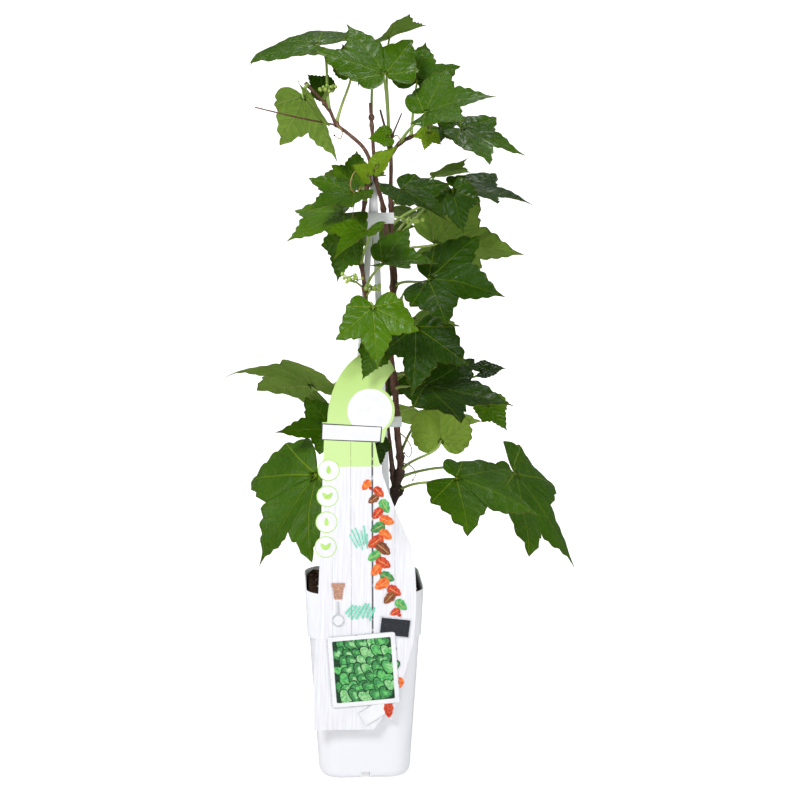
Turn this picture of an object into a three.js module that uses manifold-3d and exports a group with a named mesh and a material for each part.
// Boston ivy trained up a small ladder in a square white pot, with a tall card label.
// Millimetres, +Z up. The origin is the centre of the pot's underside and the label faces -Y.
import * as THREE from 'three';
import { mergeVertices } from 'three/addons/utils/BufferGeometryUtils.js';
import Module from 'manifold-3d';

const wasm = await Module();
wasm.setup();

// Driving dimensions
const CLEARANCE = 0.3;
const BLADE_THICKNESS = 0.7;
const PETIOLE_RADIUS = { root: 1.15, blade: 0.85 };
const BIG_LEAF = 56;
const POT = {
  height: 182, wall: 1.3, floor: 2, bottomHalf: 42.5, bodyTopHalf: 51.2, rimHalf: 55, collarHeight: 45,
  collarStep: 1.8, cornerRadius: 21, edgeRadius: 8, padRadius: 14, notchWidth: 8, notchHeight: 7,
  drainRadius: 3, drainPlace: 28,
};
const SOIL = { top: 176.5, mound: 4, moundInset: 9 };
const LADDER = {
  apex: [11, 562], leftFoot: [-27.5, 70], rightFoot: [29.5, 70], back: 0, legWidth: 7, thickness: 3,
  rungHeights: [333, 428, 522], rungTall: 10, rungOverhang: 17, rungBow: 3,
};
const LABEL = {
  thickness: 0.8, tongueWidth: 34, tongueDrop: 26, tongueLean: 1.4, discCentre: [4.4, 352], discRadius: 22.5,
  spots: [[-33, 298], [-34.2, 274], [-35.2, 250], [-36.2, 227]], spotRadius: 10,
};
const BUD = { radius: 2, stalkRadii: [1.1, 0.8], forkRadii: [0.7, 0.6] };
const LEAF_GREEN = { grown: '#2f6a1c', young: '#5d9a2c' };

// Basic shapes

function asSolid(geometry) {
  const bare = geometry.clone();
  bare.deleteAttribute('normal');
  bare.deleteAttribute('uv');
  const merged = mergeVertices(bare, 1e-4);
  return new wasm.Manifold(new wasm.Mesh({
    numProp: 3,
    vertProperties: new Float32Array(merged.attributes.position.array),
    triVerts: new Uint32Array(merged.index.array),
  }));
}

function asGeometry(solid) {
  const mesh = solid.getMesh();
  const geometry = new THREE.BufferGeometry();
  geometry.setAttribute('position', new THREE.BufferAttribute(new Float32Array(mesh.vertProperties), 3));
  geometry.setIndex(new THREE.BufferAttribute(new Uint32Array(mesh.triVerts), 1));
  geometry.computeVertexNormals();
  return geometry;
}

function fromTriangles(points, triangles) {
  const geometry = new THREE.BufferGeometry();
  geometry.setAttribute('position', new THREE.Float32BufferAttribute(points.flatMap((p) => p.toArray()), 3));
  geometry.setIndex(triangles.flat());
  return asSolid(geometry);
}

function largestBody(solid) {
  const bodies = solid.decompose();
  bodies.sort((a, b) => b.volume() - a.volume());
  return bodies[0];
}

function box(width, depth, height, x, y, z) {
  return asSolid(new THREE.BoxGeometry(width, depth, height).translate(x, y, z));
}

function uprightCylinder(radius, height, sides, x, y, z) {
  const geometry = new THREE.CylinderGeometry(radius, radius, height, sides);
  return asSolid(geometry.rotateX(Math.PI / 2).translate(x, y, z));
}

// A closed tube through points, with a radius for each point.
function sweep(points, radii, sides) {
  const vertices = [];
  const triangles = [];
  let across = new THREE.Vector3(0.31, 0.87, 0.38);
  points.forEach((point, i) => {
    const before = points[Math.max(i - 1, 0)];
    const after = points[Math.min(i + 1, points.length - 1)];
    const along = after.clone().sub(before).normalize();
    across = across.clone().addScaledVector(along, -across.dot(along)).normalize();
    const up = along.clone().cross(across);
    for (let k = 0; k < sides; k += 1) {
      const turn = (2 * Math.PI * k) / sides;
      const spoke = across.clone().multiplyScalar(Math.cos(turn)).addScaledVector(up, Math.sin(turn));
      vertices.push(point.clone().addScaledVector(spoke, radii[i]));
    }
  });
  for (let i = 0; i + 1 < points.length; i += 1) {
    for (let k = 0; k < sides; k += 1) {
      const a = i * sides + k;
      const b = i * sides + ((k + 1) % sides);
      triangles.push([a, b, b + sides], [a, b + sides, a + sides]);
    }
  }
  const last = (points.length - 1) * sides;
  for (let k = 1; k + 1 < sides; k += 1) {
    triangles.push([0, k + 1, k], [last, last + k, last + k + 1]);
  }
  return fromTriangles(vertices, triangles);
}

function vector(place) {
  return new THREE.Vector3(place[0], place[1], place[2]);
}

function taper(start, end, count) {
  return Array.from({ length: count }, (_, i) => start + ((end - start) * i) / (count - 1));
}

// Stacked rounded squares, closed at both ends. Each section is [z, half width, corner radius].
function roundedSquareLoft(sections) {
  const cornerSteps = 3;
  const perSection = 4 * (cornerSteps + 1);
  const vertices = [];
  const triangles = [];
  for (const [z, half, radius] of sections) {
    for (let corner = 0; corner < 4; corner += 1) {
      for (let step = 0; step <= cornerSteps; step += 1) {
        const turn = (Math.PI / 2) * (corner + step / cornerSteps);
        const cornerTurn = (Math.PI / 2) * (corner + 0.5);
        const reach = (half - radius) * Math.SQRT2;
        vertices.push(new THREE.Vector3(
          reach * Math.cos(cornerTurn) + radius * Math.cos(turn),
          reach * Math.sin(cornerTurn) + radius * Math.sin(turn),
          z,
        ));
      }
    }
  }
  for (let s = 0; s + 1 < sections.length; s += 1) {
    for (let k = 0; k < perSection; k += 1) {
      const a = s * perSection + k;
      const b = s * perSection + ((k + 1) % perSection);
      triangles.push([a, b, b + perSection], [a, b + perSection, a + perSection]);
    }
  }
  const top = (sections.length - 1) * perSection;
  for (let k = 1; k + 1 < perSection; k += 1) {
    triangles.push([0, k + 1, k], [top, top + k, top + k + 1]);
  }
  return fromTriangles(vertices, triangles);
}

// Pot and soil

function bodyHalfAt(z) {
  return POT.bottomHalf + ((POT.bodyTopHalf - POT.bottomHalf) * z) / (POT.height - POT.collarHeight);
}

function potCavity(inset, top) {
  const collarFoot = POT.height - POT.collarHeight;
  const shrink = POT.wall + inset;
  const floor = POT.floor + inset;
  const corner = POT.cornerRadius - shrink;
  const collarHalf = (z) => {
    const rise = (z - collarFoot) / POT.collarHeight;
    return bodyHalfAt(collarFoot) + POT.collarStep + rise * (POT.rimHalf - POT.bodyTopHalf - POT.collarStep);
  };
  return roundedSquareLoft([
    [floor, bodyHalfAt(0) - shrink - POT.edgeRadius / 2, corner - 4],
    [floor + POT.edgeRadius / 2, bodyHalfAt(6) - shrink, corner],
    [collarFoot + 1.5 + inset, bodyHalfAt(collarFoot) - shrink, corner],
    [collarFoot + 3.5 + inset, collarHalf(collarFoot) - shrink, corner],
    [top, collarHalf(top) - shrink, corner],
  ]);
}

// Four ribs stand up inside the floor over the drainage channels that start at the notches.
function floorCross(width, height) {
  const reach = POT.bottomHalf + 4;
  const length = reach - POT.padRadius;
  const middle = POT.padRadius + length / 2;
  const arms = [0, 1, 2, 3].map((quarter) => {
    const arm = new THREE.BoxGeometry(length, width, height).translate(middle, 0, height / 2);
    return asSolid(arm.rotateZ((quarter * Math.PI) / 2));
  });
  return arms.reduce((sum, arm) => sum.add(arm));
}

function pot() {
  const collarFoot = POT.height - POT.collarHeight;
  const corner = POT.cornerRadius;
  const outside = roundedSquareLoft([
    [0, POT.bottomHalf - 5, corner - 5],
    [2, POT.bottomHalf - 2, corner - 2],
    [POT.edgeRadius, bodyHalfAt(POT.edgeRadius), corner],
    [collarFoot, POT.bodyTopHalf, corner],
    [collarFoot, POT.bodyTopHalf + POT.collarStep, corner + POT.collarStep],
    [POT.height, POT.rimHalf, corner + POT.collarStep],
  ]);
  const rib = POT.notchWidth + 2 * POT.wall;
  const cavity = potCavity(0, POT.height + 2).subtract(floorCross(rib, POT.notchHeight + POT.wall));
  let shell = outside.subtract(cavity).subtract(floorCross(POT.notchWidth, POT.notchHeight));
  for (let quarter = 0; quarter < 4; quarter += 1) {
    const turn = (quarter * Math.PI) / 2;
    const x = POT.drainPlace * Math.cos(turn);
    const y = POT.drainPlace * Math.sin(turn);
    shell = shell.subtract(uprightCylinder(POT.drainRadius, 6, 8, x, y, POT.notchHeight));
  }
  return shell;
}

function soil(standing) {
  const sides = potCavity(CLEARANCE, SOIL.top - SOIL.mound);
  const half = POT.rimHalf - POT.wall - CLEARANCE - 0.4;
  const corner = POT.cornerRadius - 2;
  const mound = roundedSquareLoft([
    [SOIL.top - SOIL.mound - 6, half - 1.5, corner],
    [SOIL.top - SOIL.mound, half - 1, corner],
    [SOIL.top, half - SOIL.moundInset, corner - 4],
  ]);
  const rib = POT.notchWidth + 2 * POT.wall + 2 * CLEARANCE;
  const cross = floorCross(rib, POT.notchHeight + POT.wall + CLEARANCE);
  let body = sides.add(mound.intersect(potCavity(CLEARANCE, POT.height))).subtract(cross);
  for (const thing of standing) {
    body = body.subtract(thing);
  }
  return largestBody(body);
}

// Climbing frame: two flat legs that meet at the top, with three rungs bowed forward over the stems

function ladderLeg(foot, grow) {
  const [apexX, apexZ] = LADDER.apex;
  const half = LADDER.legWidth / 2 + grow;
  const outline = new THREE.Shape([
    new THREE.Vector2(foot[0] - half, foot[1] - grow),
    new THREE.Vector2(foot[0] + half, foot[1] - grow),
    new THREE.Vector2(apexX + half * 0.8, apexZ - 6),
    new THREE.Vector2(apexX + half * 0.4, apexZ + grow),
    new THREE.Vector2(apexX - half * 0.4, apexZ + grow),
    new THREE.Vector2(apexX - half * 0.8, apexZ - 6),
  ]);
  const depth = LADDER.thickness + 2 * grow;
  const leg = new THREE.ExtrudeGeometry(outline, { depth, bevelEnabled: false });
  return asSolid(leg.rotateX(Math.PI / 2).translate(0, LADDER.back + grow, 0));
}

function legPlace(foot, z) {
  return foot[0] + ((LADDER.apex[0] - foot[0]) * (z - foot[1])) / (LADDER.apex[1] - foot[1]);
}

function rung(z, grow) {
  const left = legPlace(LADDER.leftFoot, z) - LADDER.rungOverhang - grow;
  const right = legPlace(LADDER.rightFoot, z) + LADDER.rungOverhang + grow;
  const middle = (left + right) / 2;
  const front = LADDER.back - LADDER.thickness;
  const outline = new THREE.Shape();
  outline.moveTo(left, front + 1.2 + grow);
  outline.lineTo(left, front - 0.8 - grow);
  outline.quadraticCurveTo(middle, front - 0.8 - grow - 2 * LADDER.rungBow, right, front - 0.8 - grow);
  outline.lineTo(right, front + 1.2 + grow);
  const depth = LADDER.rungTall + 2 * grow;
  const band = new THREE.ExtrudeGeometry(outline, { depth, bevelEnabled: false, curveSegments: 6 });
  return asSolid(band.translate(0, 0, z - depth / 2));
}

function climbingFrame(grow) {
  const rungs = LADDER.rungHeights.map((z) => rung(z, grow));
  const legs = ladderLeg(LADDER.leftFoot, grow).add(ladderLeg(LADDER.rightFoot, grow));
  return rungs.reduce((sum, one) => sum.add(one), legs);
}

// Label: a die-cut card that hangs in front of the pot by a tongue folded over the rim

function labelOutline() {
  const [discX, discZ] = LABEL.discCentre;
  const outline = new THREE.Shape();
  outline.moveTo(-48, 53);
  outline.lineTo(-48, 98);
  outline.lineTo(-43, 185);
  outline.lineTo(-37, 326);
  outline.lineTo(-39.5, 326);
  outline.lineTo(-38.5, 342);
  outline.lineTo(-34, 342);
  outline.bezierCurveTo(-33, 378, -14, 403, 6, 407);
  outline.bezierCurveTo(14, 408, 22, 401, 27, 389);
  outline.quadraticCurveTo(21, 383, 15, 372);
  outline.absarc(discX, discZ, LABEL.discRadius, 1.08, -0.82, true);
  outline.lineTo(16.5, 323);
  outline.lineTo(9, 323);
  outline.bezierCurveTo(14, 290, 30, 255, 42, 227);
  outline.bezierCurveTo(47, 205, 48, 170, 44, 136);
  outline.lineTo(24, 62);
  outline.lineTo(17, 66);
  outline.lineTo(7, 53);
  return outline;
}

function label(grow) {
  const back = -POT.rimHalf - CLEARANCE;
  const depth = LABEL.thickness + 2 * grow;
  const card = new THREE.ExtrudeGeometry(labelOutline(), { depth, bevelEnabled: false, curveSegments: 6 });
  let body = asSolid(card.rotateX(Math.PI / 2).translate(0, back + grow, 0));
  for (const [x, z] of LABEL.spots) {
    const spot = new THREE.CylinderGeometry(LABEL.spotRadius, LABEL.spotRadius, depth, 12);
    body = body.add(asSolid(spot.translate(x, back - LABEL.thickness / 2, z)));
  }
  const overRim = POT.height + CLEARANCE + LABEL.thickness / 2;
  const inside = -POT.rimHalf + POT.wall + CLEARANCE + LABEL.thickness + LABEL.tongueLean;
  const frontFace = back - LABEL.thickness;
  const fold = LABEL.thickness + 2 * grow;
  const width = LABEL.tongueWidth + 2 * grow;
  const bridge = box(width, inside - frontFace + grow, fold, 0, (inside + grow + frontFace) / 2, overRim);
  const drop = LABEL.tongueDrop + grow;
  const hangs = overRim + LABEL.thickness / 2 - drop / 2;
  const tongue = box(width, fold, drop, 0, inside - LABEL.thickness / 2, hangs);
  return body.add(bridge).add(tongue);
}

// Woody stems: one plant, so trunk, canes, side twigs and the dry tendril are one body

const CANES = [
  // trunk
  { radius: [5.6, 4.6], path: [[2, 9, 118], [6, 9, 176], [15, 9, 221], [24, 9, 246], [34, 9, 268]] },
  // tallest cane, behind the rungs and then in front of the ladder's top
  { radius: [3.4, 1.5],
    path: [[30, 9, 260], [36, 8, 286], [33, 6, 320], [31, 6, 360], [26, 5, 405], [29, 5, 455], [27, 5, 485],
      [22, 5, 512], [20, 3, 530], [16, -6, 545], [12, -7, 560], [11, -6, 577], [8, -3, 626]] },
  // darker cane beside it
  { radius: [2.4, 1.7], path: [[31, 10, 262], [27, 11, 300], [22, 11, 355], [27, 6, 410]] },
  // right cane with the forked top
  { radius: [2.5, 1.5],
    path: [[28, 5, 440], [31, 8, 466], [28, 9, 495], [27, 7, 540], [27, 3, 576], [25, 2, 601]] },
  { radius: [1.5, 0.9], path: [[26, 3, 586], [23, 1, 598], [17, 0, 620]] },
  { radius: [0.9, 0.6], path: [[26, 3, 592], [31, 3, 603], [37, 4, 617]] },
  { radius: [1.9, 1.3], path: [[27, 3, 579], [34, 0, 589], [44, -2, 595], [56, -4, 600], [66, -4, 610]] },
  // left cane, which comes forward between the legs and carries the long top twig
  { radius: [2.6, 1.9],
    path: [[18, 8, 232], [13, 8, 262], [8, 6, 300], [6, 6, 345], [6, -4, 372], [3, -10, 392], [0, -10, 420],
      [3, -10, 447], [-2, -9, 493], [0, -9, 520], [6, -9, 560]] },
  { radius: [1.9, 1.4],
    path: [[5, -9, 552], [8, -9, 570], [2, -9, 585], [-13, -9, 599], [-23, -9, 607], [-30, -9, 621],
      [-51, -9, 644]] },
  // dry tendril
  { radius: [0.9, 0.6], path: [[-22, -9, 606], [-58, -26, 613], [-96, -30, 622]] },
];
const KNOTS = [
  [9, -3.5, 613, 3.2], [26, 2, 586, 3], [-23, -9, 607, 3], [34, 9, 266, 5.2], [2, -10, 458, 3.2],
];

function woodyStems(grow) {
  const canes = CANES.map(({ path, radius }) => {
    const curve = new THREE.CatmullRomCurve3(path.map(vector));
    const points = curve.getPoints(Math.round(1.3 * (path.length - 1)));
    const sides = radius[0] > 2 ? 5 : 4;
    return sweep(points, taper(radius[0] + grow, radius[1] + grow, points.length), sides);
  });
  const knots = KNOTS.map(([x, y, z, radius]) => (
    asSolid(new THREE.IcosahedronGeometry(radius + grow, 0).translate(x, y, z))
  ));
  return [...canes, ...knots].reduce((sum, piece) => sum.add(piece));
}

// Leaves: the half outline runs from the tip to the leaf base, in midrib lengths.
// A grown leaf has three lobes and coarse teeth, and a young leaf is heart shaped.
const GROWN_HALF = [
  [0.045, 0.87], [0.11, 0.81], [0.12, 0.74], [0.2, 0.69], [0.2, 0.61], [0.275, 0.56], [0.26, 0.48],
  [0.4, 0.5], [0.43, 0.455], [0.57, 0.5], [0.74, 0.47], [0.64, 0.37], [0.67, 0.28], [0.59, 0.21],
  [0.59, 0.1], [0.52, 0.06], [0.51, -0.06], [0.42, -0.09], [0.36, -0.19], [0.2, -0.21], [0.07, -0.1],
];
const YOUNG_HALF = [
  [0.05, 0.89], [0.12, 0.85], [0.13, 0.77], [0.21, 0.73], [0.22, 0.65], [0.3, 0.61], [0.31, 0.54],
  [0.38, 0.52], [0.4, 0.45], [0.47, 0.4], [0.53, 0.35], [0.5, 0.27], [0.56, 0.2], [0.52, 0.12],
  [0.55, 0.04], [0.5, 0], [0.49, -0.09], [0.42, -0.11], [0.36, -0.19], [0.2, -0.21], [0.07, -0.1],
];
const SMALL_LEAF_POINTS = [1, 3, 5, 6, 8, 10, 12, 14, 16, 18, 20];

function leafOutline(lobing, small) {
  const half = GROWN_HALF.map(([x, y], i) => [
    x * lobing + YOUNG_HALF[i][0] * (1 - lobing),
    y * lobing + YOUNG_HALF[i][1] * (1 - lobing),
  ]);
  const right = small ? SMALL_LEAF_POINTS.map((i) => half[i]) : half;
  const left = right.map(([x, y]) => [-x, y]).reverse();
  return [...left, [0, 1], ...right];
}

// Joins two rows of vertices with triangles, keeping pace along both.
function zip(inner, outer) {
  const triangles = [];
  let i = 0;
  let j = 0;
  while (i + 1 < inner.length || j + 1 < outer.length) {
    const innerNext = (i + 1) / (inner.length - 1 || 1);
    const outerNext = (j + 1) / (outer.length - 1);
    if (j + 1 < outer.length && (i + 1 >= inner.length || outerNext <= innerNext + 1e-9)) {
      triangles.push([inner[i], outer[j], outer[j + 1]]);
      j += 1;
    } else {
      triangles.push([inner[i], outer[j], inner[i + 1]]);
      i += 1;
    }
  }
  return triangles;
}

// Flat leaf net: the leaf base, an inner ring and the outline, as points and triangles.
function leafNet(lobing, small) {
  const outline = leafOutline(lobing, small);
  const ring = [0.52, small ? 7 : 9];
  const points = [[0, 0]];
  let inner = [0];
  const triangles = [];
  const startEdge = [0];
  const endEdge = [0];
  for (const [reach, count] of [ring, [1, outline.length]]) {
    const row = Array.from({ length: count }, (_, k) => {
      const [x, y] = outline[Math.round((k * (outline.length - 1)) / (count - 1))];
      points.push([x * reach, y * reach]);
      return points.length - 1;
    });
    triangles.push(...zip(inner, row));
    startEdge.push(row[0]);
    endEdge.push(row[row.length - 1]);
    inner = row;
  }
  const border = [...startEdge, ...inner.slice(1), ...endEdge.slice(1, -1).reverse()];
  return { points, triangles, border };
}

function leafAxes({ base, tip, face }) {
  const start = vector(base);
  const along = vector(tip).sub(start);
  const length = along.length();
  along.normalize();
  const [azimuth, elevation] = face.map(THREE.MathUtils.degToRad);
  const up = new THREE.Vector3(
    Math.sin(azimuth) * Math.cos(elevation),
    -Math.cos(azimuth) * Math.cos(elevation),
    Math.sin(elevation),
  );
  up.addScaledVector(along, -up.dot(along)).normalize();
  return { start, along, up, across: along.clone().cross(up), length };
}

// Bends a flat leaf point into place: lobes swept forward, folded along the midrib, arched from base to tip.
function leafPoint(axes, { width, fold, sweep = [0, 0], arch = 0.04, droop = 0.08 }, [x, y]) {
  const side = x < 0 ? 0 : 1;
  const reach = x * width[side];
  const angle = THREE.MathUtils.degToRad(fold[side]);
  const away = Math.sqrt(reach * reach + 0.0016) - 0.04;
  const arc = y > 0 ? 4 * y * (1 - y) : 2 * y;
  const lift = away * Math.sin(angle) + arch * arc - droop * reach * reach;
  return axes.start.clone()
    .addScaledVector(axes.across, reach * Math.cos(angle) * axes.length)
    .addScaledVector(axes.along, (y + sweep[side] * Math.abs(reach)) * axes.length)
    .addScaledVector(axes.up, lift * axes.length);
}

function blade(leaf, axes) {
  const net = leafNet(leaf.lobing ?? 1, axes.length < BIG_LEAF);
  const middle = net.points.map((point) => leafPoint(axes, leaf, point));
  const normals = middle.map(() => new THREE.Vector3());
  for (const [a, b, c] of net.triangles) {
    const edge = middle[b].clone().sub(middle[a]);
    const facing = edge.cross(middle[c].clone().sub(middle[a]));
    [a, b, c].forEach((k) => normals[k].add(facing));
  }
  const shift = (k, amount) => middle[k].clone().addScaledVector(normals[k].clone().normalize(), amount);
  const count = middle.length;
  const first = middle.map((_, k) => shift(k, BLADE_THICKNESS / 2));
  const second = middle.map((_, k) => shift(k, -BLADE_THICKNESS / 2));
  const triangles = net.triangles.flatMap(([a, b, c]) => [[a, b, c], [c + count, b + count, a + count]]);
  net.border.forEach((a, k) => {
    const b = net.border[(k + 1) % net.border.length];
    triangles.push([b, a, a + count], [b, a + count, b + count]);
  });
  return fromTriangles([...first, ...second], triangles);
}

function petiole(leaf, axes) {
  const start = vector(leaf.root);
  const reach = start.distanceTo(axes.start);
  const outward = axes.start.clone().sub(start).normalize().add(new THREE.Vector3(0, 0, leaf.rise ?? 0.35));
  const arrive = axes.along.clone().multiplyScalar(-0.5).addScaledVector(axes.up, -0.6);
  const end = leafPoint(axes, leaf, [0, 3 / axes.length]);
  const curve = new THREE.CubicBezierCurve3(
    start,
    start.clone().addScaledVector(outward, 0.35 * reach),
    axes.start.clone().addScaledVector(arrive, 0.35 * reach),
    end,
  );
  const steps = reach > 30 ? 5 : 3;
  return sweep(curve.getPoints(steps), taper(PETIOLE_RADIUS.root, PETIOLE_RADIUS.blade, steps + 1), 4);
}

function leafSolid(leaf, keepClear) {
  const axes = leafAxes(leaf);
  let body = blade(leaf, axes).add(petiole(leaf, axes));
  for (const thing of keepClear) {
    body = body.subtract(thing);
  }
  return largestBody(body);
}

// face is the way the upper side looks, as azimuth from -Y towards +X and elevation, in degrees.
// width and fold are for the left and right halves, seen from above with the tip ahead.
const LEAVES = [
  // top tier
  { base: [-39, -7, 677], tip: [-101, 48, 660], face: [-70, 73], width: [0.8, 1.2], fold: [0, 5],
    root: [-30, -9, 621], arch: 0.14, droop: 0.22, rise: 1.2 },
  { base: [20, -25, 651], tip: [-13, 14, 697], face: [28, 43], width: [1.2, 1], fold: [6, 6],
    root: [25, 2, 598] },
  { base: [25, 25, 684], tip: [63, 48, 697], face: [-109, 52], width: [1.1, 1], fold: [30, 12],
    root: [25, 2, 597], lobing: 0.2 },
  { base: [52, 24, 645], tip: [62, 46, 682], face: [-2, 37], width: [1.2, 1.15], fold: [9, 9],
    root: [45, -2, 595] },
  { base: [55, -30, 617], tip: [119, -34, 632], face: [-24, 56], width: [1, 1.05], fold: [17, 17],
    root: [36, -1, 591] },
  { base: [90, -5, 603], tip: [150, -3, 578], face: [38, 53], width: [0.75, 1.15], fold: [8, 8],
    root: [58, -4, 600] },
  { base: [60, -22, 600], tip: [55, -26, 583], face: [0, 10], width: [1, 1], fold: [10, 10],
    root: [54, -4, 599] },
  { base: [70, -9, 604], tip: [87, -13, 591], face: [10, 40], width: [1, 1], fold: [10, 10],
    root: [62, -4, 604] },
  { base: [-53, -15, 632], tip: [-23, -12, 573], face: [134, 31], width: [0.95, 0.95], fold: [-20, -28],
    root: [-49, -9, 642] },
  { base: [-32, 15, 636], tip: [-49, 15, 652], face: [5, 20], width: [1, 1], fold: [12, 12],
    root: [-34, -9, 625], lobing: 0.2 },
  { base: [-9, 4, 654], tip: [-17, 0, 679], face: [-20, 30], width: [1, 1], fold: [12, 12],
    root: [-23, -9, 607], lobing: 0.3 },
  { base: [24, -14, 596], tip: [5, -18, 594], face: [0, 25], width: [1, 1], fold: [10, 10],
    root: [25, 2, 594], lobing: 0 },
  { base: [13, -14, 568], tip: [32, -18, 588], face: [-30, 20], width: [0.7, 0.7], fold: [20, 20],
    root: [8, -9, 566], lobing: 0 },
  // second tier
  { base: [-6, 5, 550], tip: [-3, 30, 583], face: [-9, 38], width: [0.9, 0.9], fold: [25, 25],
    root: [4, -9, 548], lobing: 0.5 },
  { base: [-7, -24, 547], tip: [-50, -44, 530], face: [-20, 62], width: [0.95, 1.1], fold: [12, 12],
    root: [3, -9, 538] },
  { base: [5, -19, 561], tip: [-10, -25, 571], face: [0, 35], width: [1, 1], fold: [10, 10],
    root: [6, -9, 556], lobing: 0 },
  { base: [-16, -8, 527], tip: [-69, -33, 502], face: [-27, 61], width: [0.9, 1.1], fold: [0, 0],
    root: [-1, -9, 508], lobing: 0.6 },
  { base: [2, -48, 514], tip: [-28, -75, 490], face: [-39, 55], width: [1.15, 0.8], fold: [25, 30],
    root: [-1, -9, 480] },
  { base: [-9, 0, 502], tip: [-23, 4, 463], face: [-45, 8], width: [1, 1.1], fold: [18, 18],
    root: [-2, -9, 492], lobing: 0.4 },
  { base: [33, -42, 550], tip: [74, -70, 521], face: [29, 57], width: [0.85, 1.15], fold: [18, 18],
    root: [27, 7, 540] },
  { base: [67, 30, 558], tip: [106, 60, 561], face: [-134, 69], width: [1, 1.1], fold: [12, 8],
    root: [27, 8, 532], lobing: 0.4 },
  { base: [93, 12, 548], tip: [159, 10, 532], face: [42, 71], width: [1, 0.9], fold: [9, 9],
    root: [28, 9, 515] },
  { base: [80, -32, 549], tip: [90, -38, 509], face: [0, 10], width: [0.85, 0.85], fold: [14, 14],
    root: [28, 9, 498], lobing: 0.5, rise: 0 },
  { base: [68, 20, 497], tip: [150, -4, 488], face: [160, 35], width: [1, 0.8], fold: [20, 20],
    root: [28, 9, 488] },
  { base: [17, -40, 484], tip: [67, -42, 483], face: [6, 64], width: [1.1, 1.05], fold: [27, 27],
    root: [2, -10, 456] },
  // middle tier
  { base: [58, -40, 469], tip: [126, -60, 454], face: [-6, 50], width: [1, 1.1], fold: [20, 10],
    root: [30, 7, 458], arch: 0.08 },
  { base: [38, 15, 428], tip: [40, 19, 454], face: [-105, 2], width: [1, 1], fold: [12, 12],
    root: [28, 5, 425], lobing: 0 },
  { base: [7, -66, 447], tip: [10, -92, 394], face: [-10, 29], width: [0.9, 0.8], fold: [0, 0],
    root: [2, -10, 440] },
  { base: [11, -62, 414], tip: [-3, -68, 382], face: [20, 10], width: [0.8, 0.8], fold: [12, 12],
    root: [1, -10, 425], lobing: 0.2 },
  { base: [46, -48, 427], tip: [41, -66, 366], face: [30, 10], width: [1.15, 0.85], fold: [20, 12],
    root: [27, 5, 418] },
  { base: [56, -30, 371], tip: [137, -39, 351], face: [26, 65], width: [0.95, 1.05], fold: [8, 8],
    root: [30, 6, 362] },
  { base: [111, 10, 377], tip: [136, 15, 380], face: [-20, 60], width: [1, 1], fold: [12, 12],
    root: [29, 6, 374], lobing: 0 },
  { base: [115, 0, 349], tip: [135, -8, 324], face: [24, 33], width: [1, 1], fold: [12, 12],
    root: [32, 6, 340], lobing: 0.3 },
  { base: [45, 20, 374], tip: [57, 26, 346], face: [0, 20], width: [1, 1], fold: [12, 12],
    root: [30, 6, 368], lobing: 0.3 },
  { base: [24, 34, 366], tip: [20, 42, 342], face: [0, 20], width: [1, 1], fold: [12, 12],
    root: [22, 11, 352], lobing: 0.3 },
  { base: [-45, -8, 366], tip: [-126, -30, 379], face: [168, 65], width: [1.1, 0.85], fold: [-5, -5],
    root: [4, -8, 384], arch: 0.17 },
  // lower tier
  { base: [72, -18, 315], tip: [69, -26, 368], face: [162, 25], width: [1, 1.15], fold: [22, 22],
    root: [36, 8, 284], lobing: 0 },
  { base: [-27, 6, 325], tip: [-82, -12, 325], face: [25, 36], width: [1, 0.75], fold: [35, 35],
    root: [7, 6, 318] },
  { base: [11, -25, 318], tip: [16, -28, 296], face: [20, 13], width: [1, 1], fold: [12, 12],
    root: [8, 6, 302], lobing: 0.3 },
  { base: [84, -38, 286], tip: [158, -62, 254], face: [40, 62], width: [0.95, 1.25], fold: [0, 0],
    root: [33, 9, 264] },
  { base: [147, 32, 276], tip: [203, 16, 185], face: [70, 30], width: [0.85, 1], fold: [9, 0],
    root: [36, 8, 278], sweep: [-0.2, 0.2], droop: 0.19 },
  { base: [-43, -23, 287], tip: [-98, -1, 196], face: [-75, 9], width: [0.65, 1.25], fold: [-12, 26],
    root: [12, 8, 266], sweep: [0.18, 0.21], droop: 0.36 },
  // rear of the plant
  { base: [10, 48, 672], tip: [0, 76, 642], face: [180, 45], width: [1, 1], fold: [10, 10],
    root: [9, -4, 606] },
  { base: [-4, 45, 562], tip: [-10, 86, 538], face: [195, 50], width: [1, 1], fold: [10, 10],
    root: [27, 7, 545] },
  { base: [54, 50, 525], tip: [84, 92, 498], face: [150, 50], width: [1, 1], fold: [10, 10],
    root: [28, 9, 500] },
  { base: [5, 45, 510], tip: [22, 92, 480], face: [180, 50], width: [1, 1], fold: [10, 10],
    root: [26, 5, 492] },
  { base: [50, 45, 425], tip: [58, 92, 390], face: [170, 45], width: [1, 1], fold: [10, 10],
    root: [28, 5, 412] },
  { base: [16, 51, 366], tip: [14, 94, 336], face: [185, 45], width: [0.8, 0.8], fold: [10, 10],
    root: [22, 11, 370], rise: 1.3 },
  { base: [62, 50, 332], tip: [92, 88, 292], face: [150, 45], width: [1, 1], fold: [10, 10],
    root: [35, 7, 298] },
  { base: [-18, 50, 272], tip: [-40, 94, 228], face: [205, 45], width: [1, 1], fold: [10, 10],
    root: [13, 8, 260] },
];

// Flower bud sprays: a thin branching stalk with small round buds, placed by a seeded draw

function seededDraw(seed) {
  let state = seed;
  return () => {
    state = (Math.imul(state, 1664525) + 1013904223) >>> 0;
    return state / 4294967296;
  };
}

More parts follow.
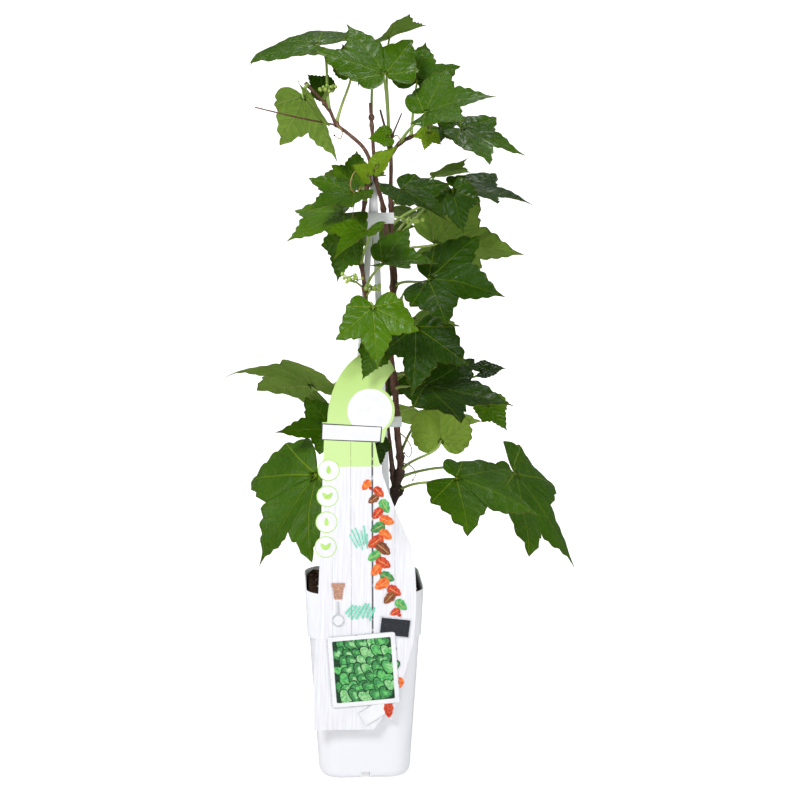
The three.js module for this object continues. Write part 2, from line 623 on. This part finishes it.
const SPRAYS = [
  { root: [2, -10, 458], heart: [-14, -18, 464], spread: 9, buds: 7, seed: 5 },
  { root: [3, -10, 450], heart: [10, -22, 457], spread: 7, buds: 6, seed: 11 },
  { root: [28, 7, 523], heart: [50, 8, 512], spread: 8, buds: 6, seed: 23 },
  { root: [-36, -9, 629], heart: [-28, -16, 636], spread: 8, buds: 7, seed: 31 },
];

function budSpray({ root, heart, spread, buds, seed }, keepClear) {
  const draw = seededDraw(seed);
  const start = vector(root);
  const end = vector(heart);
  end.z += spread / 2;
  let body = sweep([start, end], BUD.stalkRadii, 4);
  for (let k = 0; k < buds; k += 1) {
    const turn = k * 2.4;
    const direction = new THREE.Vector3(Math.cos(turn), Math.sin(turn), 0.6 * draw()).normalize();
    const fork = start.clone().lerp(end, 1 - (0.55 * k * spread) / (buds * start.distanceTo(end)) * 2);
    const bud = fork.clone().addScaledVector(direction, spread * (0.6 + 0.4 * draw()));
    body = body.add(sweep([fork, bud], BUD.forkRadii, 3));
    body = body.add(asSolid(new THREE.OctahedronGeometry(BUD.radius, 0).translate(bud.x, bud.y, bud.z)));
  }
  for (const thing of keepClear) {
    body = body.subtract(thing);
  }
  return largestBody(body);
}

// Assembly

const plant = new THREE.Group();

function place(name, solid, colour, roughness) {
  const material = new THREE.MeshStandardMaterial({ color: colour, roughness, metalness: 0 });
  const mesh = new THREE.Mesh(asGeometry(solid), material);
  mesh.name = name;
  plant.add(mesh);
}

const stemsClear = woodyStems(CLEARANCE);
const frameClear = climbingFrame(CLEARANCE);

place('pot', pot(), '#eef0f5', 0.35);
place('soil', soil([stemsClear, frameClear, label(CLEARANCE)]), '#2b1d15', 0.95);
place('climbing_frame', climbingFrame(0), '#eceef1', 0.4);
place('label', label(0), '#dfe6d2', 0.45);
place('woody_stems', woodyStems(0).subtract(frameClear), '#4a2f24', 0.85);
SPRAYS.forEach((spray, i) => {
  place(`bud_spray_${i + 1}`, budSpray(spray, [stemsClear, frameClear]), '#7f9c3a', 0.6);
});
LEAVES.forEach((leaf, i) => {
  const number = String(i + 1).padStart(2, '0');
  const green = leaf.lobing === undefined ? LEAF_GREEN.grown : LEAF_GREEN.young;
  place(`leaf_${number}`, leafSolid(leaf, [stemsClear, frameClear]), green, 0.4);
});

export default plant;
